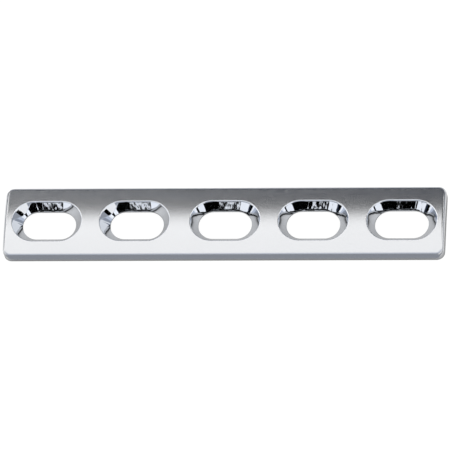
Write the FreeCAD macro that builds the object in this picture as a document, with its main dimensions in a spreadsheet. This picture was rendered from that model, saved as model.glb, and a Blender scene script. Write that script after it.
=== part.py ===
# Five-hole orthopedic bone plate for small-fragment screws, in millimetres.
#
# One piece of polished implant steel. The plate lies on the two long edges of its hollowed
# underside, +X along its length, +Y across it, +Z up, with the origin in the middle of the
# footprint. Each screw slot goes straight through, and flares upwards into a countersunk seat
# for the round underside of a screw head. The seat's walls lean out evenly on both sides and at
# its neutral end. At its load end the seat reaches further, so the wall there is a gentler ramp,
# and a head that is driven in on that ramp slides the plate along the bone.

import FreeCAD, Part
import os

import Sketcher

SIZES = (
    ("hole_pitch", 12.0, "middle to middle of neighbouring slots"),
    ("end_margin", 6.0, "middle of the last slot to the end of the plate"),
    ("plate_width", 10.2, "across the plate"),
    ("edge_thickness", 1.7, "height of the plate along its long sides"),
    ("crown_rise", 0.4, "height of the crown above the long sides"),
    ("underside_hollow", 0.25, "depth of the hollow underside at the middle"),
    ("rail_width", 0.5, "flat bearing edge on each side of the hollow"),
    ("corner_radius", 1.1, "corners of the plate seen from above"),
    ("upper_edge_radius", 0.45, "rounding where the top meets the sides and ends"),
    ("lower_edge_radius", 0.15, "rounding where the underside meets the sides and ends"),
    ("slot_width", 4.1, "clear width for the shank of the screw"),
    ("slot_travel", 3.2, "between the middles of the slot's two round ends"),
    ("slot_wall", 0.5, "height of the foot of the seat, where the slot's upright wall ends"),
    ("seat_width", 6.0, "across the seat at the height of the crown, for the screw's head"),
    ("load_run", 0.35, "how much further the seat reaches at its load end, at the height of the crown"),
    ("rim_radius", 0.12, "rounding where the seats meet the top"),
)

# Slots on each side of the middle one.
SLOTS_EACH_SIDE = 2

# Least volume that a cut has to take away, in cubic millimetres.
LEAST_CUT = 0.001

# The cutter of the seats goes on this far above the crown.
HEADROOM = 0.5

CROWN_HEIGHT = "(Sizes.edge_thickness + Sizes.crown_rise)"
SEAT_DEPTH = f"({CROWN_HEIGHT} - Sizes.slot_wall)"
SIDE_FLARE = "(Sizes.seat_width - Sizes.slot_width) / 2"

# How a sketch counts its own origin, its axes and the ends and centre of a piece.
ORIGIN_POINT = -1
HORIZONTAL_AXIS = -1
VERTICAL_AXIS = -2
START, END, CENTRE = range(1, 4)

doc = FreeCAD.newDocument("BonePlate")
sheet = doc.addObject("Spreadsheet::Sheet", "Sizes")


def fill_sheet():
    for row, (alias, value, meaning) in enumerate(SIZES, start=1):
        sheet.set(f"A{row}", alias)
        sheet.set(f"B{row}", str(value))
        sheet.setAlias(f"B{row}", alias)
        sheet.set(f"C{row}", meaning)
    doc.recompute()


def size(alias):
    return float(sheet.get(alias))


def origin_feature(body, role):
    return next(part for part in body.Origin.OriginFeatures if part.Role == role)


def new_sketch(body, role, name):
    sketch = body.newObject("Sketcher::SketchObject", name)
    sketch.AttachmentSupport = [(origin_feature(body, role), "")]
    sketch.MapMode = "FlatFace"
    return sketch


def constrain(sketch, kind, *places):
    return sketch.addConstraint(Sketcher.Constraint(kind, *places))


def bind_constraint(sketch, name, expression, kind, *places):
    # A dimension of a sketch that follows the sheet.
    index = constrain(sketch, kind, *places)
    sketch.renameConstraint(index, name)
    sketch.setExpression(f"Constraints.{name}", expression)


def arc_through(first, middle, last):
    return Part.Arc(FreeCAD.Vector(*first, 0), FreeCAD.Vector(*middle, 0), FreeCAD.Vector(*last, 0))


def line_between(first, last):
    return Part.LineSegment(FreeCAD.Vector(*first, 0), FreeCAD.Vector(*last, 0))


def join_loop(sketch, ends):
    # ends: for each piece of the outline, its number, its first end and its last end.
    for (piece, _, last), (following, first, _) in zip(ends, ends[1:] + ends[:1]):
        constrain(sketch, "Coincident", piece, last, following, first)


def draw_section(body):
    # Cross-section of the blank: flat below, upright sides and a top that is one crowned arc.
    half = size("plate_width") / 2
    side = size("edge_thickness")
    crown = side + size("crown_rise")
    sketch = new_sketch(body, "YZ_Plane", "SectionOutline")
    base = sketch.addGeometry(line_between((-half, 0), (half, 0)))
    right = sketch.addGeometry(line_between((half, 0), (half, side)))
    top = sketch.addGeometry(arc_through((half, side), (0, crown), (-half, side)))
    left = sketch.addGeometry(line_between((-half, side), (-half, 0)))
    crown_point = sketch.addGeometry(Part.Point(FreeCAD.Vector(0, crown, 0)), True)
    join_loop(sketch, [(piece, START, END) for piece in (base, right, top, left)])
    constrain(sketch, "Vertical", right)
    constrain(sketch, "Vertical", left)
    constrain(sketch, "Horizontal", top, START, top, END)
    constrain(sketch, "PointOnObject", base, START, HORIZONTAL_AXIS)
    constrain(sketch, "Symmetric", base, START, base, END, VERTICAL_AXIS)
    constrain(sketch, "PointOnObject", crown_point, START, top)
    constrain(sketch, "PointOnObject", crown_point, START, VERTICAL_AXIS)
    bind_constraint(sketch, "width", "Sizes.plate_width", "DistanceX", base, START, base, END, 2 * half)
    bind_constraint(sketch, "side", "Sizes.edge_thickness", "DistanceY", right, START, right, END, side)
    bind_constraint(
        sketch, "crown", CROWN_HEIGHT, "DistanceY", ORIGIN_POINT, START, crown_point, START, crown
    )
    return sketch


def draw_hollow(body):
    # Segment of a circle that is taken out of the underside, between the two bearing rails.
    half = size("plate_width") / 2 - size("rail_width")
    depth = size("underside_hollow")
    sketch = new_sketch(body, "YZ_Plane", "HollowOutline")
    arc = sketch.addGeometry(arc_through((half, 0), (0, depth), (-half, 0)))
    chord = sketch.addGeometry(line_between((-half, 0), (half, 0)))
    deepest = sketch.addGeometry(Part.Point(FreeCAD.Vector(0, depth, 0)), True)
    join_loop(sketch, [(arc, START, END), (chord, START, END)])
    constrain(sketch, "PointOnObject", chord, START, HORIZONTAL_AXIS)
    constrain(sketch, "Symmetric", chord, START, chord, END, VERTICAL_AXIS)
    constrain(sketch, "PointOnObject", deepest, START, arc)
    constrain(sketch, "PointOnObject", deepest, START, VERTICAL_AXIS)
    bind_constraint(
        sketch, "span", "Sizes.plate_width - 2 * Sizes.rail_width", "DistanceX",
        chord, START, chord, END, 2 * half
    )
    bind_constraint(
        sketch, "depth", "Sizes.underside_hollow", "DistanceY", ORIGIN_POINT, START, deepest, START, depth
    )
    return sketch


def add_blank(body):
    blank = body.newObject("PartDesign::Pad", "Blank")
    blank.Profile = draw_section(body)
    blank.Midplane = True
    blank.setExpression("Length", f"2 * ({SLOTS_EACH_SIDE} * Sizes.hole_pitch + Sizes.end_margin)")
    doc.recompute()
    return blank


def add_through_cut(body, name, sketch):
    # Cuts the sketch's outline out of the plate, all the way both ways.
    cut = body.newObject("PartDesign::Pocket", name)
    cut.Profile = sketch
    cut.Type = "ThroughAll"
    cut.Midplane = True
    doc.recompute()
    return cut


def round_edges(body, name, radius, edges):
    # Rounds some edges of what the body has so far.
    base = body.Tip
    numbered = enumerate(base.Shape.Edges, start=1)
    names = [f"Edge{number}" for number, edge in numbered if any(edge.isSame(other) for other in edges)]
    fillet = body.newObject("PartDesign::Fillet", name)
    fillet.Base = (base, names)
    fillet.setExpression("Radius", f"Sizes.{radius}")
    doc.recompute()
    return fillet


def is_upright(edge):
    run = edge.Vertexes[-1].Point - edge.Vertexes[0].Point
    return abs(run.z) > 0 and run.cross(FreeCAD.Vector(0, 0, 1)).Length < 1e-6


def largest_face(body, side):
    # The largest face that looks up, where side is 1, or down, where it is -1.
    def looks_that_way(face):
        along_from, along_to, across_from, across_to = face.ParameterRange
        normal = face.normalAt((along_from + along_to) / 2, (across_from + across_to) / 2)
        return normal.z * side > 0

    return max(filter(looks_that_way, body.Tip.Shape.Faces), key=lambda face: face.Area)


def round_outline(body):
    # Corners first, so that the roundings above and below run on around them.
    corners = [edge for edge in body.Tip.Shape.Edges if is_upright(edge)]
    round_edges(body, "PlanCorners", "corner_radius", corners)
    round_edges(body, "UpperEdges", "upper_edge_radius", largest_face(body, 1).OuterWire.Edges)
    round_edges(body, "LowerEdges", "lower_edge_radius", largest_face(body, -1).OuterWire.Edges)


def round_rims(body):
    top = largest_face(body, 1)
    rims = [wire for wire in top.Wires if not wire.isSame(top.OuterWire)]
    return round_edges(body, "Rims", "rim_radius", [edge for rim in rims for edge in rim.Edges])


def middle_of(steps):
    # Where a slot's middle lies along the plate, as an expression, counted in slots from the middle one.
    return f"{steps} * Sizes.hole_pitch"


def draw_stadium(body, name, steps, radius, load_side):
    # Round-ended outline of a slot seen from above, its radius and the middle of its load end set
    # by expressions. The middle of its neutral end is always the slot's own.
    place = steps * size("hole_pitch")
    reach = size("slot_travel") / 2
    round_end = size("slot_width") / 2
    sketch = new_sketch(body, "XY_Plane", name)
    near = sketch.addGeometry(line_between((place - reach, -round_end), (place + reach, -round_end)))
    right = sketch.addGeometry(arc_through(
        (place + reach, -round_end), (place + reach + round_end, 0), (place + reach, round_end)
    ))
    far = sketch.addGeometry(line_between((place + reach, round_end), (place - reach, round_end)))
    left = sketch.addGeometry(arc_through(
        (place - reach, round_end), (place - reach - round_end, 0), (place - reach, -round_end)
    ))
    for piece, following in ((near, right), (right, far), (far, left), (left, near)):
        constrain(sketch, "Tangent", piece, END, following, START)
    constrain(sketch, "Horizontal", near)
    constrain(sketch, "PointOnObject", right, CENTRE, HORIZONTAL_AXIS)
    constrain(sketch, "Equal", left, right)
    bind_constraint(sketch, "end_radius", radius, "Radius", right, round_end)
    bind_constraint(
        sketch, "neutral_end", f"{middle_of(steps)} - Sizes.slot_travel / 2", "DistanceX",
        ORIGIN_POINT, START, left, CENTRE, place - reach
    )
    bind_constraint(
        sketch, "load_end", f"{middle_of(steps)} + Sizes.slot_travel / 2 + {load_side}", "DistanceX",
        ORIGIN_POINT, START, right, CENTRE, place + reach
    )
    return sketch


def draw_seat(body, name, steps, height):
    # Outline of the seat's flare at a height: the slot's own outline at the foot of the seat, and
    # the full seat at the crown.
    flared = f"(({height} - Sizes.slot_wall) / {SEAT_DEPTH})"
    radius = f"Sizes.slot_width / 2 + {flared} * {SIDE_FLARE}"
    sketch = draw_stadium(body, name, steps, radius, f"{flared} * Sizes.load_run")
    sketch.setExpression("AttachmentOffset.Base.z", height)
    return sketch


def add_seat(body, name, steps):
    # The flare starts down at the rails, inside the slot, so that it meets the slot's wall at a clean edge.
    seat = body.newObject("PartDesign::SubtractiveLoft", f"{name}Seat")
    seat.Profile = draw_seat(body, f"{name}FlareFoot", steps, "0")
    seat.Sections = [draw_seat(body, f"{name}FlareLid", steps, f"({CROWN_HEIGHT} + {HEADROOM})")]
    seat.Ruled = True
    doc.recompute()
    return seat


def add_screw_hole(body, name, steps):
    outline = draw_stadium(body, f"{name}SlotOutline", steps, "Sizes.slot_width / 2", "0")
    return [add_through_cut(body, f"{name}Slot", outline), add_seat(body, name, steps)]


def repeat_outwards(body, features):
    # Copies the first outer hole along the plate, and all of that to the other side.
    along = body.newObject("PartDesign::LinearPattern", "AlongPlate")
    along.Direction = (origin_feature(body, "X_Axis"), [""])
    along.Mode = "Spacing"
    along.setExpression("Offset", "Sizes.hole_pitch")
    along.Occurrences = SLOTS_EACH_SIDE
    other_side = body.newObject("PartDesign::Mirrored", "OtherSide")
    other_side.MirrorPlane = (origin_feature(body, "YZ_Plane"), [""])
    repeated = body.newObject("PartDesign::MultiTransform", "OuterHoles")
    repeated.Originals = features
    repeated.Transformations = [along, other_side]
    body.Tip = repeated
    doc.recompute()
    return repeated


def check_document():
    for item in doc.Objects:
        if "Invalid" in item.State or "Error" in item.State:
            raise RuntimeError(f"{item.Name} failed: {item.State}")


def check_cuts(features):
    # Each cut has to take some of the plate away.
    for feature in features:
        if feature.Shape.Volume > feature.BaseFeature.Shape.Volume - LEAST_CUT:
            raise RuntimeError(f"{feature.Name} cuts nothing")


def make_plate():
    body = doc.addObject("PartDesign::Body", "BonePlateBody")
    body.Label = "bone_plate"
    add_blank(body)
    round_outline(body)
    cuts = [add_through_cut(body, "UndersideHollow", draw_hollow(body))]
    cuts += add_screw_hole(body, "Middle", 0)
    outer_hole = add_screw_hole(body, "Outer", 1)
    cuts += outer_hole + [repeat_outwards(body, outer_hole), round_rims(body)]
    check_document()
    check_cuts(cuts)
    return body


fill_sheet()
plate = make_plate()
shape = plate.Shape
if shape.isNull() or not shape.isValid() or len(shape.Solids) != 1:
    raise RuntimeError("the plate is not one valid solid")
os.makedirs("parts", exist_ok=True)
shape.exportStep(f"parts/{plate.Label}.step")
print(f"{plate.Label}: {shape.Volume:.3f} cubic mm, {len(shape.Faces)} faces")
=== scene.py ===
"""Looks of a five-hole orthopedic bone plate, laid out as a Blender 4.5 add-on and run as a script.

The plate is one closed surface: rings around each screw slot, from the hollow underside up the
slot's wall, over the seat and its rim and out across the crowned top, and then down the rounded
outline and under it again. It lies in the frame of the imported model, in metres: +X along the
plate, +Y across it, +Z up.
"""

import math

import bpy
import numpy as np
from mathutils import Matrix, Vector


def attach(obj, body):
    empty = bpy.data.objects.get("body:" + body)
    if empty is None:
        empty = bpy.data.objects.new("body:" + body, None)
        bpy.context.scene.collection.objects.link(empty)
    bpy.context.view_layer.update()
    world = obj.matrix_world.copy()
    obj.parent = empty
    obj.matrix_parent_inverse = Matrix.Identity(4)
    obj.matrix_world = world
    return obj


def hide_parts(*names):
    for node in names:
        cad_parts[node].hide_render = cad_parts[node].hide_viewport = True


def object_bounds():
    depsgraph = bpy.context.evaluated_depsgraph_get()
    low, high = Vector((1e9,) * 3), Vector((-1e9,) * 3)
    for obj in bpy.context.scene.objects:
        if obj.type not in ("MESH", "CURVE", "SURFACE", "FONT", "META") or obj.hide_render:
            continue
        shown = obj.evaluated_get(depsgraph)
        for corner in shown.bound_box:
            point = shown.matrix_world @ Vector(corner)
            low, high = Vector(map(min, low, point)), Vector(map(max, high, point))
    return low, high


bl_info = {
    "name": "Orthopedic Bone Plate",
    "version": (1, 0, 0),
    "blender": (4, 5, 0),
    "location": "View3D > Sidebar > Bone Plate",
    "description": "Makes a five-hole orthopedic bone plate with its finishes, and a studio around it",
    "category": "Object",
}

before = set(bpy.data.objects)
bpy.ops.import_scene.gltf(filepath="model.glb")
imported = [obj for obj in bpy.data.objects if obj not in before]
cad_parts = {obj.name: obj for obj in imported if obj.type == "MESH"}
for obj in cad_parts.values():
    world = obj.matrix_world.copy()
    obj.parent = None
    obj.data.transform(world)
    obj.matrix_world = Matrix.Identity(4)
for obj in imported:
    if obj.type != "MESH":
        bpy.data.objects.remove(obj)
CAD_LOW, CAD_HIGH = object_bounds()

MM = 0.001

# Slots on each side of the middle one.
SLOTS_EACH_SIDE = 2

# The photograph is this many pixels wide and high, and the camera's sensor this many millimetres.
PICTURE_PIXELS = 450
SENSOR_WIDTH = 36.0

# The sRGB curve is straight up to a knee, and above it a power of the shifted value.
SRGB_KNEE = 0.04045
SRGB_SLOPE = 12.92
SRGB_SHIFT = 0.055
SRGB_POWER = 2.4

# Points nearer to each other than this are one point, in metres.
SAME_PLACE = 1e-8

# Steps along the outline of a slot's field: up its end, round the plate's corner, along the side as
# far as the slot's straight part, and along that part.
END_STEPS = 18
CORNER_STEPS = 12
SIDE_STEPS = 14
STRAIGHT_STEPS = 20

# Rows of faces, in their order round the metal from the rail under the plate.
HOLLOW_ROWS = 6
WALL_ROWS = 3
SEAT_ROWS = 12
RIM_ROWS = 6
TOP_ROWS = 16
UPPER_EDGE_ROWS = 8
SIDE_ROWS = 3
LOWER_EDGE_ROWS = 5

# Rounds of looking for the middle of the rim's rounding.
RIM_ROUNDS = 20

# Where the underside meets the outline, its first step inwards is at least this share of the way.
LEAST_RAIL_SHARE = 0.03

# Edges that turn by more than this are shaded as sharp ones.
SHARP_TURN = math.radians(22)

# The camera shows nothing nearer than this, in metres.
CLIP_START = 0.01

# The floor lies this far below the plate, so that the two don't share a surface, and reaches this
# far each way from the plate's middle, in metres.
FLOOR_DROP = 0.02 * MM
FLOOR_REACH = 1.5

# How open the paper is to the light is found with this many rays. The painted shade on what the metal
# mirrors of the paper goes with this power of that openness.
PAINTED_SHADE_RAYS = 8
PAINTED_SHADE_POWER = 2.4

# The highest cards hang at this height, in metres, and each layer of cards this far below the last.
CARD_HEIGHT = 1.2
LAYER_DROP = 0.005

# The slats' number, and the first one's near edge, their spacing and their width in heights of
# their cards.
SLATS = 5
FIRST_SLAT = 0.62
SLAT_PITCH = 0.1
SLAT_WIDTH = 0.014


def linear(code):
    """Linear red, green and blue of an sRGB hex colour: each is divided by the slope up to the knee,
    and above it shifted, scaled back to one and raised to the power."""
    shares = np.array([int(code[i : i + 2], 16) for i in (1, 3, 5)]) / 255
    bent = ((shares + SRGB_SHIFT) / (1 + SRGB_SHIFT)) ** SRGB_POWER
    return tuple(np.where(shares <= SRGB_KNEE, shares / SRGB_SLOPE, bent).tolist())


def length_setting(name, description, millimetres):
    return bpy.props.FloatProperty(
        name=name, description=description, default=millimetres * MM, precision=5, unit="LENGTH"
    )


def angle_setting(name, description, degrees):
    return bpy.props.FloatProperty(
        name=name, description=description, default=math.radians(degrees), subtype="ANGLE"
    )


def colour_setting(name, description, code):
    return bpy.props.FloatVectorProperty(
        name=name, description=description, default=linear(code), subtype="COLOR", min=0, max=1
    )


def brightness_setting(name, description, strength):
    return bpy.props.FloatProperty(name=name, description=description, default=strength, min=0)


class BonePlateSettings(bpy.types.PropertyGroup):
    """Sizes of the plate and the colours of its finishes."""

    length: length_setting("Length", "End to end", (CAD_HIGH.x - CAD_LOW.x) / MM)
    width: length_setting("Width", "Across the plate", (CAD_HIGH.y - CAD_LOW.y) / MM)
    crown_height: length_setting("Crown height", "Thickness at the crown", CAD_HIGH.z / MM)
    crown_rise: length_setting("Crown rise", "Height of the crown above the long sides", 0.4)
    hole_pitch: length_setting("Hole pitch", "Middle to middle of neighbouring slots", 12.0)
    hollow_depth: length_setting("Hollow depth", "Depth of the hollow underside", 0.25)
    rail_width: length_setting("Rail width", "Flat bearing edge beside the hollow", 0.5)
    corner_radius: length_setting("Corner radius", "Corners seen from above", 1.1)
    upper_radius: length_setting("Upper edge radius", "Rounding above the sides and ends", 0.45)
    lower_radius: length_setting("Lower edge radius", "Rounding below the sides and ends", 0.15)
    slot_width: length_setting("Slot width", "Clear width for the screw", 4.1)
    slot_travel: length_setting("Slot travel", "Between the middles of the slot's round ends", 3.2)
    slot_wall: length_setting("Slot wall", "Height of the foot of the seat", 0.5)
    seat_width: length_setting("Seat width", "Across the seat at the height of the crown", 6.0)
    load_run: length_setting("Load run", "How much further the seat reaches at its load end", 0.35)
    rim_radius: length_setting("Rim radius", "Rounding where a seat meets the top", 0.12)
    skin_colour: colour_setting("Satin steel", "Colour of the satin skin", "#D6D7D9")
    seat_colour: colour_setting("Polished steel", "Colour of the seats and slots", "#E5E8ED")


class BonePlateStudio(bpy.types.PropertyGroup):
    """Where the camera stands, and the light around the plate."""

    tilt: angle_setting("Tilt", "Camera off the upright, towards the plate's near side", 24.582)
    yaw: angle_setting("Yaw", "Camera off the upright, towards the plate's right end", 8.0)
    roll: angle_setting("Roll", "Camera's turn about its line of sight", 3.421)
    distance: length_setting("Distance", "From the camera to the point it looks at", 1000.0)
    focal_pixels: bpy.props.FloatProperty(
        name="Focal length", description="In pixels of the photograph", default=7421.231, min=1
    )
    target: bpy.props.FloatVectorProperty(
        name="Target",
        description="Point that the camera looks at",
        default=(0.148 * MM, -0.458 * MM, 1.5 * MM),
        precision=6,
        unit="LENGTH",
    )
    floor_colour: colour_setting("Floor", "Pale paper under the plate", "#FFFFFF")
    shadow_colour: colour_setting(
        "Floor under the light", "What the paper gives back of the light on it", "#808080"
    )
    board_colour: colour_setting("Boards", "Cool white of the boards around the plate", "#E6ECF8")
    slate_colour: colour_setting("Slate", "Blue grey of the board high behind the plate", "#B4C8F0")
    own_light: brightness_setting(
        "Paper's own light", "What the camera sees of the paper without light on it", 0.9
    )
    # Reach of the painted shade: how near to the plate the paper's own light in the metal is darkened.
    painted_shade_reach: length_setting("Shade", "How near to the plate the paper looks shut in", 6.0)
    board_start: length_setting("Lying board", "From the plate's middle line to its edge", 5.4)
    tent_glow: brightness_setting("Tent", "Brightness of the white tent around the plate", 1.0)
    lit_glow: brightness_setting("Lit cards", "Brightness of the diffuser, strips and slats", 1.27)
    bright_glow: brightness_setting("Bright strip", "Brightness of what the crown mirrors", 1.45)
    pale_glow: brightness_setting("Pale board", "Brightness of the board next to the diffuser", 0.9)
    grey_glow: brightness_setting("Grey boards", "Brightness of the near and the back board", 0.5)
    dark_glow: brightness_setting(
        "Dark boards", "Brightness of the boards at the sides, in front and on the paper", 0.42
    )
    slate_glow: brightness_setting(
        "Slate board", "Brightness of the board high behind the plate", 0.06
    )


class Crown:
    """The crowned top: an arc of a circle across the plate, the same all along it."""

    def __init__(self, sizes):
        half = sizes.width / 2
        # Radius of a circle from half its chord and its rise: half the sum of the half chord
        # squared over the rise, and the rise.
        self.radius = (half**2 / sizes.crown_rise + sizes.crown_rise) / 2
        self.axis_height = sizes.crown_height - self.radius

    def height(self, across, inset=0.0):
        """Height of the surface that lies inset below the top: the circle's middle plus the root
        of its smaller radius squared less the distance across squared."""
        return self.axis_height + np.sqrt((self.radius - inset) ** 2 - across**2)

    def normal(self, across, height):
        """Unit vectors from the circle's middle to points across the plate."""
        vectors = np.stack([np.zeros_like(across), across, height - self.axis_height], axis=-1)
        return vectors / np.linalg.norm(vectors, axis=-1, keepdims=True)

    def stretch(self, inset):
        """How much further across a point of the top lies than the point inset below it."""
        return self.radius / (self.radius - inset)


class SeatFlare:
    """Walls of a countersunk seat: straight lines that lean out from the slot's round-ended outline.

    Places along are from the slot's middle, positive towards the load end, where the walls lean
    out more. A line's share is 0 at its foot on the slot and 1 at the height of the crown."""

    def __init__(self, sizes):
        self.foot = sizes.slot_wall
        self.depth = sizes.crown_height - sizes.slot_wall
        self.slot_radius = sizes.slot_width / 2
        self.flare = (sizes.seat_width - sizes.slot_width) / 2
        self.run = sizes.load_run
        self.reach = sizes.slot_travel / 2

    def place(self, base, direction, share):
        """Points at these shares of the walls' lines: out from the base by the slot's radius and
        the flare's share, and along by the load run's share, which fades to nought at the base of
        the neutral end."""
        drift = share * self.run * (base[:, 0] + self.reach) / (2 * self.reach)
        plan = base + direction * (self.slot_radius + share * self.flare)[..., None]
        return np.dstack([plan[..., 0] + drift, plan[..., 1], self.foot + share * self.depth])

    def into_metal(self, base, direction):
        """Unit vectors square to the walls: level they go the lines' way, and down by the lean of
        the wall, which at the load end grows by the run along that way."""
        is_load_end = base[:, 0] >= self.reach
        lean = (self.flare + self.run * is_load_end * direction[:, 0]) / self.depth
        vectors = np.column_stack([direction, -lean])
        return vectors / np.linalg.norm(vectors, axis=-1, keepdims=True)


def hollow_height(sizes, across):
    """Height of the underside: an arc of a circle over the hollow, and nought on the rails."""
    half = sizes.width / 2 - sizes.rail_width
    radius = (half**2 / sizes.hollow_depth + sizes.hollow_depth) / 2
    return sizes.hollow_depth - radius + np.sqrt(radius**2 - np.minimum(np.abs(across), half) ** 2)


def even(first, last, steps):
    """Even steps from the first value up to the last, without the first."""
    return np.linspace(first, last, steps + 1)[1:]


def turn_between(first, last, steps):
    """Unit vectors that turn evenly from the first to the last: each is weighted by the sine of
    the angle to the other, over the sine of the whole angle."""
    angle = np.arccos(np.clip(np.sum(first * last, axis=-1, keepdims=True), -1, 1))
    share = np.linspace(0, 1, steps + 1)[:, None, None]
    return (np.sin((1 - share) * angle) * first + np.sin(share * angle) * last) / np.sin(angle)


def quarter_outline(sizes, stretch, limit, is_end):
    """A quarter of the outline of a slot's field, from the middle of its right side round to above
    the middle of the slot's round end: plan places of the middle of the edge rounding, and the
    way each looks outwards.

    At the plate's end the outline goes up the end, round the corner and along the long side.
    Elsewhere it goes up a line across the plate that two fields share, which looks nowhere, and
    along the long side. Steps are even angles about the middle of the slot's round end."""
    middle = sizes.slot_travel / 2
    side = sizes.width / 2 - sizes.upper_radius
    turn = sizes.corner_radius - sizes.upper_radius if is_end else 0.0
    corner_along, corner_across = limit - turn, side - turn
    angles = np.linspace(0, math.atan2(corner_across * stretch, limit - middle), END_STEPS + 1)
    rises = (limit - middle) * np.tan(angles) / stretch
    across_run = np.stack([np.full_like(rises, limit), rises], axis=-1)
    across_looks = np.tile([1.0 if is_end else 0.0, 0.0], (len(rises), 1))
    corner_turns = even(0, math.pi / 2, CORNER_STEPS if is_end else 1)
    corner_looks = np.stack([np.cos(corner_turns), np.sin(corner_turns)], axis=-1)
    corner_run = np.array([corner_along, corner_across]) + turn * corner_looks
    if not is_end:
        across_run, across_looks = across_run[:-1], across_looks[:-1]
    angles = even(math.atan2(side * stretch, corner_along - middle), math.pi / 2, SIDE_STEPS)
    places = middle + side * stretch / np.tan(angles)
    side_run = np.stack([places, np.full_like(places, side)], axis=-1)
    side_looks = np.tile([0.0, 1.0], (len(places), 1))
    return (
        np.concatenate([across_run, corner_run, side_run]),
        np.concatenate([across_looks, corner_looks, side_looks]),
    )


def field_outline(sizes, stretch, right, left):
    """Whole outline of a slot's field, the plate seen from above and turning left: a quarter, the
    straight part above the slot, a quarter mirrored along the plate, and all that mirrored across.
    right and left are each a limit and whether the plate ends there."""
    middle = sizes.slot_travel / 2
    right_places, right_looks = quarter_outline(sizes, stretch, *right)
    left_places, left_looks = quarter_outline(sizes, stretch, *left)
    straight = even(middle, -middle, STRAIGHT_STEPS)[:-1]
    straight_places = np.stack([straight, np.full_like(straight, right_places[-1, 1])], axis=-1)
    straight_looks = np.tile([0.0, 1.0], (len(straight), 1))
    mirror_along, mirror_across = np.array([-1.0, 1.0]), np.array([1.0, -1.0])
    places = np.concatenate([right_places, straight_places, left_places[::-1] * mirror_along])
    looks = np.concatenate([right_looks, straight_looks, left_looks[::-1] * mirror_along])
    return (
        np.concatenate([places, places[-2:0:-1] * mirror_across]),
        np.concatenate([looks, looks[-2:0:-1] * mirror_across]),
    )


def find_rim(crown, flare, base, direction, radius):
    """Middle of the rim's rounding on each line of the seat's walls, and that line's share there.

    The middle lies the rounding's radius inside the metal, both from the wall and from the top.
    The top is nearly level, so taking its height at the last middle for the next one soon settles."""
    inwards = flare.into_metal(base, direction)
    share = np.ones(len(base))
    for _ in range(RIM_ROUNDS):
        middle = flare.place(base, direction, share)[0] + radius * inwards
        share += (crown.height(middle[:, 1], radius) - middle[:, 2]) / flare.depth
    return middle, inwards, share


def in_rows(first, last, shares):
    """Plan places at these shares of the way from the first to the last, one row for each share."""
    return first + (last - first) * np.asarray(shares)[:, None, None]


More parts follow.
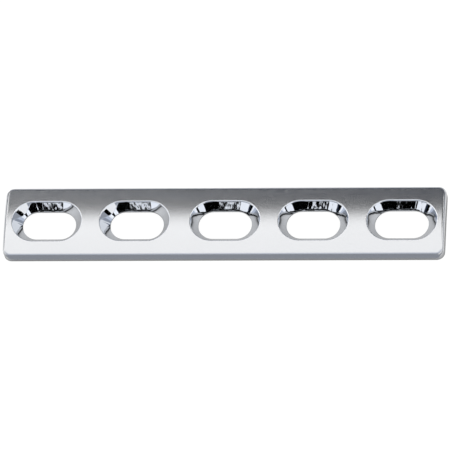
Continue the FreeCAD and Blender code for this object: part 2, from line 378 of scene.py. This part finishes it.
def slot_field(sizes, crown, flare, right, left):
    """Rings around one slot whose load end is to the right, as an array of rows of places, from the
    underside's outer edge to the slot, up its wall, over the seat and the rim, across the top, down
    the outline and back.

    Also given are the way the outline looks at each column, the first and last row of the cut
    surface, and for each place the foot of its line on the slot's edge, with its own height."""
    stretch = crown.stretch(sizes.upper_radius)
    places, looks = field_outline(sizes, stretch, right, left)
    columns = len(places)

    outer_across = places[:, 1] * stretch
    outer = np.column_stack([places[:, 0], outer_across])
    base = np.column_stack([np.clip(outer[:, 0], -flare.reach, flare.reach), np.zeros(columns)])
    direction = outer - base
    direction /= np.linalg.norm(direction, axis=-1, keepdims=True)
    slot_edge = base + direction * flare.slot_radius

    # Under the plate the outer ring lies where the lower rounding ends.
    under_side = sizes.width / 2 - sizes.lower_radius
    shared = places * np.array([1.0, under_side / (sizes.width / 2 - sizes.upper_radius)])
    on_edge = places + looks * (sizes.upper_radius - sizes.lower_radius)
    under_outer = np.where(np.any(looks, axis=-1, keepdims=True), on_edge, shared)
    rail_inside = sizes.width / 2 - sizes.rail_width
    rail_share = (np.abs(under_outer[:, 1]) - rail_inside) / np.maximum(
        np.abs(under_outer[:, 1]) - np.abs(slot_edge[:, 1]), sizes.rail_width
    )
    rail_share = np.maximum(rail_share, LEAST_RAIL_SHARE)
    under_shares = rail_share + (1 - rail_share) * np.linspace(0, 1, HOLLOW_ROWS + 1)[:, None]
    under_shares = np.concatenate([np.zeros((1, columns)), under_shares])[:, :, None]
    under = under_outer + (slot_edge - under_outer) * under_shares
    under = np.dstack([under, hollow_height(sizes, under[..., 1])])

    # The slot's wall goes straight up to the foot of the seat.
    wall_heights = under[-1, :, 2] + (flare.foot - under[-1, :, 2]) * even(0, 1, WALL_ROWS)[:, None]
    wall = np.dstack([np.broadcast_to(slot_edge, (WALL_ROWS, columns, 2)), wall_heights])

    # The rim's rounding touches the seat square to its wall, and the top along its normal.
    rim, inwards, rim_share = find_rim(crown, flare, base, direction, sizes.rim_radius)
    rim_normals = turn_between(-inwards, crown.normal(rim[:, 1], rim[:, 2]), RIM_ROWS)
    rim_rows = rim + sizes.rim_radius * rim_normals
    seat = flare.place(base, direction, rim_share * even(0, 1, SEAT_ROWS)[:-1, None])

    top_plan = in_rows(rim_rows[-1][:, :2], outer, even(0, 1, TOP_ROWS))
    top = np.dstack([top_plan, crown.height(top_plan[..., 1])])

    # The upper rounding turns from the top's normal to the way that the outline looks.
    edge_middle = np.column_stack([places, crown.height(places[:, 1], sizes.upper_radius)])
    level_looks = np.column_stack([looks, np.zeros(columns)])
    top_normal = crown.normal(places[:, 1], edge_middle[:, 2])
    upper_normals = turn_between(top_normal, level_looks, UPPER_EDGE_ROWS)[1:]
    upper = edge_middle + sizes.upper_radius * upper_normals

    # Below it the side goes down to the lower rounding, which the hollow cuts at the plate's ends.
    side_plan = places + looks * sizes.upper_radius
    turns = np.linspace(0, math.pi / 2, LOWER_EDGE_ROWS + 1)
    lower_plan = in_rows(side_plan, side_plan - looks * sizes.lower_radius, 1 - np.cos(turns))
    rounded = np.tile(sizes.lower_radius * (1 - np.sin(turns))[:, None], (1, columns))
    lower = np.dstack([lower_plan, np.maximum(rounded, hollow_height(sizes, lower_plan[..., 1]))])
    straight = in_rows(upper[-1], lower[0], even(0, 1, SIDE_ROWS)[:-1])

    rows = np.concatenate([under, wall, seat, rim_rows, top, upper, straight, lower[:-1], under[:1]])
    cut_first = len(under) - 1
    cut_last = cut_first + len(wall) + len(seat) + len(rim_rows)
    feet = np.dstack([np.broadcast_to(slot_edge, (len(rows), columns, 2)), rows[..., 2]])
    return rows, looks, (cut_first, cut_last), feet


def field_faces(rows, looks, cut):
    """Four-cornered faces between neighbouring rows and columns, the last column joined to the
    first. Where the outline is shared with the next field, the rows past the top have no faces.
    Also whether each face is on the cut surface."""
    row_count, columns = rows.shape[:2]
    row, column = np.meshgrid(np.arange(row_count - 1), np.arange(columns), indexing="ij")
    following = (column + 1) % columns
    corners = np.stack(
        [row * columns + column, (row + 1) * columns + column,
         (row + 1) * columns + following, row * columns + following], axis=-1,
    )
    outline_row = cut[1] + TOP_ROWS
    is_edge = np.any(looks, axis=-1)
    is_kept = (row < outline_row) | (is_edge[column] & is_edge[following])
    is_cut = (row >= cut[0]) & (row < cut[1])
    return corners[is_kept], is_cut[is_kept]


def plate_surface(sizes):
    """Places, faces, cut faces and wall feet of the whole plate, with what fields share merged."""
    crown, flare = Crown(sizes), SeatFlare(sizes)
    half_pitch = sizes.hole_pitch / 2
    end = (sizes.length / 2 - SLOTS_EACH_SIDE * sizes.hole_pitch - sizes.upper_radius, True)
    joint = (half_pitch, False)
    places, faces, cuts, feet, count = [], [], [], [], 0
    along_turned = np.array([-1.0, 1.0, 1.0])
    for step in range(-SLOTS_EACH_SIDE, SLOTS_EACH_SIDE + 1):
        right = end if step == SLOTS_EACH_SIDE else joint
        left = end if step == -SLOTS_EACH_SIDE else joint
        if step < 0:
            # Its load end is to the left: the field is made mirrored along the plate and turned back.
            rows, looks, cut, foot = slot_field(sizes, crown, flare, left, right)
            rows, foot = rows[:, ::-1] * along_turned, foot[:, ::-1] * along_turned
            looks = looks[::-1]
        else:
            rows, looks, cut, foot = slot_field(sizes, crown, flare, right, left)
        corners, is_cut = field_faces(rows, looks, cut)
        slot_place = np.array([step * sizes.hole_pitch, 0, 0])
        places.append(rows.reshape(-1, 3) + slot_place)
        faces.append(corners + count)
        cuts.append(is_cut)
        feet.append(foot.reshape(-1, 3) + slot_place)
        count += len(places[-1])
    places, faces = np.concatenate(places), np.concatenate(faces)
    used, faces = np.unique(faces, return_inverse=True)
    places, feet = places[used], np.concatenate(feet)[used]
    _, kept, merged = np.unique(
        np.round(places / SAME_PLACE).astype(np.int64), axis=0, return_index=True, return_inverse=True
    )
    faces = merged.ravel()[faces.reshape(-1, 4)]
    return places[kept], faces, np.concatenate(cuts), feet[kept]


def check_closed(faces):
    """Every edge has to be between exactly two faces, which go along it opposite ways."""
    edges = np.stack([faces, np.roll(faces, -1, axis=1)], axis=-1).reshape(-1, 2)
    edges = edges[edges[:, 0] != edges[:, 1]]
    forward = np.unique(edges, axis=0)
    backward = np.unique(edges[:, ::-1], axis=0)
    if len(forward) != len(edges) or not np.array_equal(forward, backward):
        raise RuntimeError("the plate's surface isn't closed")


def mesh_object(name, places, faces, materials):
    mesh = bpy.data.meshes.new(name)
    mesh.from_pydata(places.tolist(), [], faces.tolist())
    mesh.validate()
    piece = bpy.data.objects.new(name, mesh)
    for material in materials:
        mesh.materials.append(material)
    bpy.context.scene.collection.objects.link(piece)
    return piece


def add_node(tree, kind, inputs=None, **settings):
    """Adds a node, sets it up, and gives each named input a value or a link from an output."""
    node = tree.nodes.new(kind)
    for name, value in settings.items():
        setattr(node, name, value)
    for name, value in (inputs or {}).items():
        if isinstance(value, bpy.types.NodeSocket):
            tree.links.new(value, node.inputs[name])
        else:
            node.inputs[name].default_value = value
    return node


def new_material(name):
    material = bpy.data.materials.new(name)
    material.use_nodes = True
    material.node_tree.nodes.clear()
    return material, material.node_tree


def satin_steel(settings):
    """Implant steel, polished and then blasted with fine glass beads: grey, even and soft, so that
    it shows the light in the room as broad bright and dark fields."""
    material, tree = new_material("satin_blasted_implant_steel")
    place = add_node(tree, "ShaderNodeTexCoord").outputs["Object"]
    # Dents of the beads are about 0.05 mm across, and drawn at 0.12 mm so that they just show.
    dent_size = 0.12 * MM
    dents = add_node(
        tree, "ShaderNodeTexNoise", {"Vector": place, "Scale": 1 / dent_size, "Detail": 2.0}
    )
    # Blasting by hand leaves parts a few millimetres across a little duller than others.
    cloud_size = 2.5 * MM
    clouds = add_node(
        tree, "ShaderNodeTexNoise", {"Vector": place, "Scale": 1 / cloud_size, "Detail": 2.0}
    )
    roughness = add_node(
        tree, "ShaderNodeMapRange", {"Value": clouds.outputs["Fac"], "To Min": 0.19, "To Max": 0.23}
    )
    bump = add_node(
        tree, "ShaderNodeBump",
        {"Height": dents.outputs["Fac"], "Strength": 0.12, "Distance": 0.01 * MM},
    )
    surface = add_node(
        tree, "ShaderNodeBsdfPrincipled",
        {
            "Base Color": (*settings.skin_colour, 1), "Metallic": 1.0,
            "Roughness": roughness.outputs["Result"], "Normal": bump.outputs["Normal"],
        },
    )
    add_node(tree, "ShaderNodeOutputMaterial", {"Surface": surface.outputs["BSDF"]})
    return material


def polished_steel(settings):
    """Implant steel, countersunk with a tapered cutter and polished by hand: a mirror that isn't quite
    even, so that what it shows breaks up into patches."""
    material, tree = new_material("polished_implant_steel")
    # Polishing up and down the walls leaves waves about 1 mm wide and nearly three times as tall.
    wave_width, width_to_height = 1.0 * MM, 0.35
    foot = add_node(tree, "ShaderNodeAttribute", attribute_name="wall_foot").outputs["Vector"]
    place = add_node(
        tree, "ShaderNodeVectorMath", {0: foot, 1: (1, 1, width_to_height)}, operation="MULTIPLY"
    ).outputs[0]
    waves = add_node(
        tree, "ShaderNodeTexNoise", {"Vector": place, "Scale": 1 / wave_width, "Detail": 2.0}
    )
    bump = add_node(
        tree, "ShaderNodeBump",
        {"Height": waves.outputs["Fac"], "Strength": 1.0, "Distance": 0.02 * MM},
    )
    surface = add_node(
        tree, "ShaderNodeBsdfPrincipled",
        {
            "Base Color": (*settings.seat_colour, 1), "Metallic": 1.0, "Roughness": 0.03,
            "Normal": bump.outputs["Normal"],
        },
    )
    add_node(tree, "ShaderNodeOutputMaterial", {"Surface": surface.outputs["BSDF"]})
    return material


class BONEPLATE_OT_make_plate(bpy.types.Operator):
    """Makes the plate's surface with its satin skin and polished seats"""

    bl_idname = "bone_plate.make_plate"
    bl_label = "Make the plate"

    def execute(self, context):
        settings = context.scene.bone_plate
        places, faces, is_cut, feet = plate_surface(settings)
        check_closed(faces)
        finishes = [satin_steel(settings), polished_steel(settings)]
        plate = mesh_object("bone_plate_body", places, faces, finishes)
        mesh = plate.data
        mesh.polygons.foreach_set("material_index", is_cut.astype(np.int32))
        foot_layer = mesh.attributes.new("wall_foot", "FLOAT_VECTOR", "POINT")
        foot_layer.data.foreach_set("vector", feet.astype(np.float32).ravel())
        mesh.shade_smooth()
        mesh.set_sharp_from_angle(angle=SHARP_TURN)
        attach(plate, "root")
        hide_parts("bone_plate")
        return {"FINISHED"}


def aim_camera(studio):
    """Stands the camera back from its target along its line of sight, which leans towards the near
    side by the tilt and to the right by the yaw, and turns it about that line by the roll."""
    tilt, yaw, roll = studio.tilt, studio.yaw, studio.roll
    sight = Vector(
        (math.sin(yaw), -math.sin(tilt) * math.cos(yaw), math.cos(tilt) * math.cos(yaw))
    )
    right = Vector((0, 1, 0)).cross(sight).normalized()
    up = sight.cross(right)
    turned_right = right * math.cos(roll) + up * math.sin(roll)
    turned_up = up * math.cos(roll) - right * math.sin(roll)
    camera_data = bpy.data.cameras.new("camera")
    camera_data.sensor_width = SENSOR_WIDTH
    camera_data.lens = studio.focal_pixels / PICTURE_PIXELS * SENSOR_WIDTH
    camera_data.clip_start = CLIP_START
    camera = bpy.data.objects.new("camera", camera_data)
    turn = Matrix((turned_right, turned_up, sight)).transposed().to_4x4()
    camera.matrix_world = Matrix.Translation(Vector(studio.target) + sight * studio.distance) @ turn
    bpy.context.scene.collection.objects.link(camera)
    bpy.context.scene.camera = camera


def paper(studio):
    """White studio paper: matt, and white to the eye and in the metal, whatever light falls on it.

    Its own light goes only to the camera and to what mirrors the paper, and shines on nothing else.
    Close to the plate, where the paper is shut in, mirrors see less of it. This is painted shade: the
    own light that the metal mirrors is darkened by how open the paper is, not by light that falls on
    it. The rest is plain matt paper, which keeps the plate's soft shadow."""
    material, tree = new_material("white_studio_paper")
    path = add_node(tree, "ShaderNodeLightPath").outputs
    # Painted shade: near the plate, the occlusion factor darkens the paper's own light where the metal
    # mirrors it.
    openness = add_node(
        tree, "ShaderNodeAmbientOcclusion", {"Distance": studio.painted_shade_reach}, samples=PAINTED_SHADE_RAYS
    ).outputs["AO"]
    mirrored = add_node(
        tree, "ShaderNodeMath",
        {0: path["Is Glossy Ray"], 1: path["Is Transmission Ray"]}, operation="ADD",
    ).outputs[0]
    left_by_painted_shade = add_node(
        tree, "ShaderNodeMath", {0: openness, 1: PAINTED_SHADE_POWER}, operation="POWER"
    ).outputs[0]
    # The painted shade goes only to glossy and transmission rays. The camera sees the paper's own
    # light without it.
    shaded = add_node(
        tree, "ShaderNodeMath", {0: mirrored, 1: left_by_painted_shade}, operation="MULTIPLY"
    ).outputs[0]
    seen = add_node(
        tree, "ShaderNodeMath", {0: path["Is Camera Ray"], 1: shaded}, operation="ADD"
    ).outputs[0]
    strength = add_node(
        tree, "ShaderNodeMath", {0: seen, 1: studio.own_light}, operation="MULTIPLY"
    ).outputs[0]
    own = add_node(
        tree, "ShaderNodeEmission", {"Color": (*studio.floor_colour, 1), "Strength": strength}
    )
    matt = add_node(
        tree, "ShaderNodeBsdfDiffuse", {"Color": (*studio.shadow_colour, 1), "Roughness": 0.9}
    )
    both = add_node(tree, "ShaderNodeAddShader", {0: own.outputs[0], 1: matt.outputs[0]})
    add_node(tree, "ShaderNodeOutputMaterial", {"Surface": both.outputs[0]})
    return material


def glowing_card(name, strength, colour=(1, 1, 1)):
    """Card that gives light of one colour evenly, as a lit diffuser or a board in the light does, or
    none at all, as black felt does."""
    material, tree = new_material(name)
    surface = add_node(tree, "ShaderNodeEmission", {"Color": (*colour, 1), "Strength": strength})
    add_node(tree, "ShaderNodeOutputMaterial", {"Surface": surface.outputs["Emission"]})
    return material


def place_card(name, material, corners):
    """A flat card that only metal shows: the camera looks past it, and the paper gets no light or
    shade from it."""
    card = mesh_object(name, np.array(corners), np.array([[0, 1, 2, 3]]), [material])
    card.visible_camera = False
    card.visible_diffuse = False
    card.visible_shadow = False


def hang_card(name, material, left, right, near, far, layer=0):
    """A level card over the plate. Its edges are given in heights of the card, so that each is the
    tangent of the angle off the upright at which the plate sees it. A card in a lower layer, which
    has the higher number, hides what is above it."""
    height = CARD_HEIGHT - layer * LAYER_DROP
    edges = np.array([(left, near), (left, far), (right, far), (right, near)]) * height
    place_card(name, material, [(along, across, height) for along, across in edges])


def stand_card(name, material, start, end, height):
    """An upright card from the floor's level up, between two places along and across."""
    place_card(name, material, [(*start, 0), (*end, 0), (*end, height), (*start, height)])


def lay_card(name, material, left, right, near, far):
    """A level card on the paper."""
    place_card(name, material, [(left, near, 0), (right, near, 0), (right, far, 0), (left, far, 0)])


def lay_floor(studio):
    """A square of white paper just below the plate."""
    corners = np.array([(-1, -1, 0), (1, -1, 0), (1, 1, 0), (-1, 1, 0)]) * FLOOR_REACH
    places = corners - np.array([0, 0, FLOOR_DROP])
    floor = mesh_object("floor", places, np.array([[0, 1, 2, 3]]), [paper(studio)])


def hang_tent(studio):
    """The white tent is the world's light, the same from all sides."""
    world = bpy.data.worlds.new("white_tent")
    world.use_nodes = True
    tree = world.node_tree
    tree.nodes.clear()
    background = add_node(
        tree, "ShaderNodeBackground", {"Color": (1, 1, 1, 1), "Strength": studio.tent_glow}
    )
    add_node(tree, "ShaderNodeOutputWorld", {"Surface": background.outputs["Background"]})
    bpy.context.scene.world = world


def place_cards(studio):
    """Everything in the tent that the metal mirrors."""
    lit = glowing_card("lit_diffuser", studio.lit_glow)
    bright = glowing_card("bright_strip", studio.bright_glow)
    black = glowing_card("black_felt", 0.0)
    pale = glowing_card("pale_board", studio.pale_glow, studio.board_colour)
    grey = glowing_card("grey_board", studio.grey_glow, studio.board_colour)
    dark = glowing_card("dark_board", studio.dark_glow, studio.board_colour)
    slate = glowing_card("slate_board", studio.slate_glow, studio.slate_colour)

    # The near half of the top mirrors the diffuser, the crown its brighter strip, the far half what
    # is behind them, and the near rounding the boards on this side of them.
    hang_card("diffuser", lit, left=-1.7, right=1.7, near=0.0, far=0.53)
    hang_card("crown_strip", bright, left=-1.7, right=1.7, near=0.34, far=0.53, layer=1)
    hang_card("back_flag", black, left=-1.7, right=1.7, near=0.53, far=1.7)
    hang_card("slate_board", slate, left=-1.7, right=1.7, near=0.7, far=1.7, layer=1)
    hang_card("pale_board", pale, left=-1.5, right=1.0, near=-0.6, far=0.0)
    hang_card("near_board", grey, left=-1.5, right=1.0, near=-1.0, far=-0.6)

    # The seats mirror these as white and black blocks, and the slats as thin streaks.
    hang_card("right_shelf", lit, left=0.3, right=0.75, near=0.67, far=0.85, layer=2)
    hang_card("left_strip", lit, left=-1.5, right=-0.36, near=0.56, far=1.0, layer=2)
    hang_card("right_strip", lit, left=0.75, right=1.6, near=0.56, far=0.85, layer=2)
    hang_card("small_flag", black, left=0.0, right=0.72, near=0.38, far=0.56, layer=2)
    for number in range(SLATS):
        near = FIRST_SLAT + number * SLAT_PITCH
        far = near + SLAT_WIDTH
        hang_card(f"slat_{number}", lit, left=-0.36, right=-0.14, near=near, far=far, layer=2)

    # The ends of the seats and the sides of the plate mirror what stands around it.
    stand_card("front_board", dark, start=(-1.5, -1.2), end=(0.55, -1.2), height=1.2)
    stand_card("right_flag", black, start=(1.9, -1.01), end=(1.9, -0.4), height=0.3)
    stand_card("right_board", dark, start=(1.9, -0.4), end=(1.9, 2.0), height=1.1)
    stand_card("left_board", dark, start=(-1.9, 0.5), end=(-1.9, 2.0), height=1.1)
    stand_card("back_board", grey, start=(-1.2, 2.04), end=(1.2, 2.04), height=1.2)

    # The plate's near side mirrors a board that lies on the paper and starts just off it.
    lay_card("lying_board", dark, left=-0.06, right=0.06, near=-1.2, far=-studio.board_start)


class BONEPLATE_OT_make_studio(bpy.types.Operator):
    """Makes the camera, the pale floor and the light around the plate"""

    bl_idname = "bone_plate.make_studio"
    bl_label = "Make the studio"

    def execute(self, context):
        studio = context.scene.bone_plate_studio
        aim_camera(studio)
        lay_floor(studio)
        hang_tent(studio)
        place_cards(studio)
        context.scene.view_settings.view_transform = "Standard"
        return {"FINISHED"}


class BONEPLATE_PT_panel(bpy.types.Panel):
    """Settings and makers of the bone plate"""

    bl_idname = "BONEPLATE_PT_panel"
    bl_label = "Bone Plate"
    bl_space_type = "VIEW_3D"
    bl_region_type = "UI"
    bl_category = "Bone Plate"

    def draw(self, context):
        for settings, operator in (
            (context.scene.bone_plate, BONEPLATE_OT_make_plate.bl_idname),
            (context.scene.bone_plate_studio, BONEPLATE_OT_make_studio.bl_idname),
        ):
            column = self.layout.column()
            for name in settings.__annotations__:
                column.prop(settings, name)
            column.operator(operator)


CLASSES = (
    BonePlateSettings,
    BonePlateStudio,
    BONEPLATE_OT_make_plate,
    BONEPLATE_OT_make_studio,
    BONEPLATE_PT_panel,
)


def register():
    for each in CLASSES:
        bpy.utils.register_class(each)
    bpy.types.Scene.bone_plate = bpy.props.PointerProperty(type=BonePlateSettings)
    bpy.types.Scene.bone_plate_studio = bpy.props.PointerProperty(type=BonePlateStudio)


def unregister():
    del bpy.types.Scene.bone_plate_studio
    del bpy.types.Scene.bone_plate
    for each in reversed(CLASSES):
        bpy.utils.unregister_class(each)


def main():
    register()
    bpy.ops.bone_plate.make_plate()
    bpy.ops.bone_plate.make_studio()


if __name__ == "__main__":
    main()
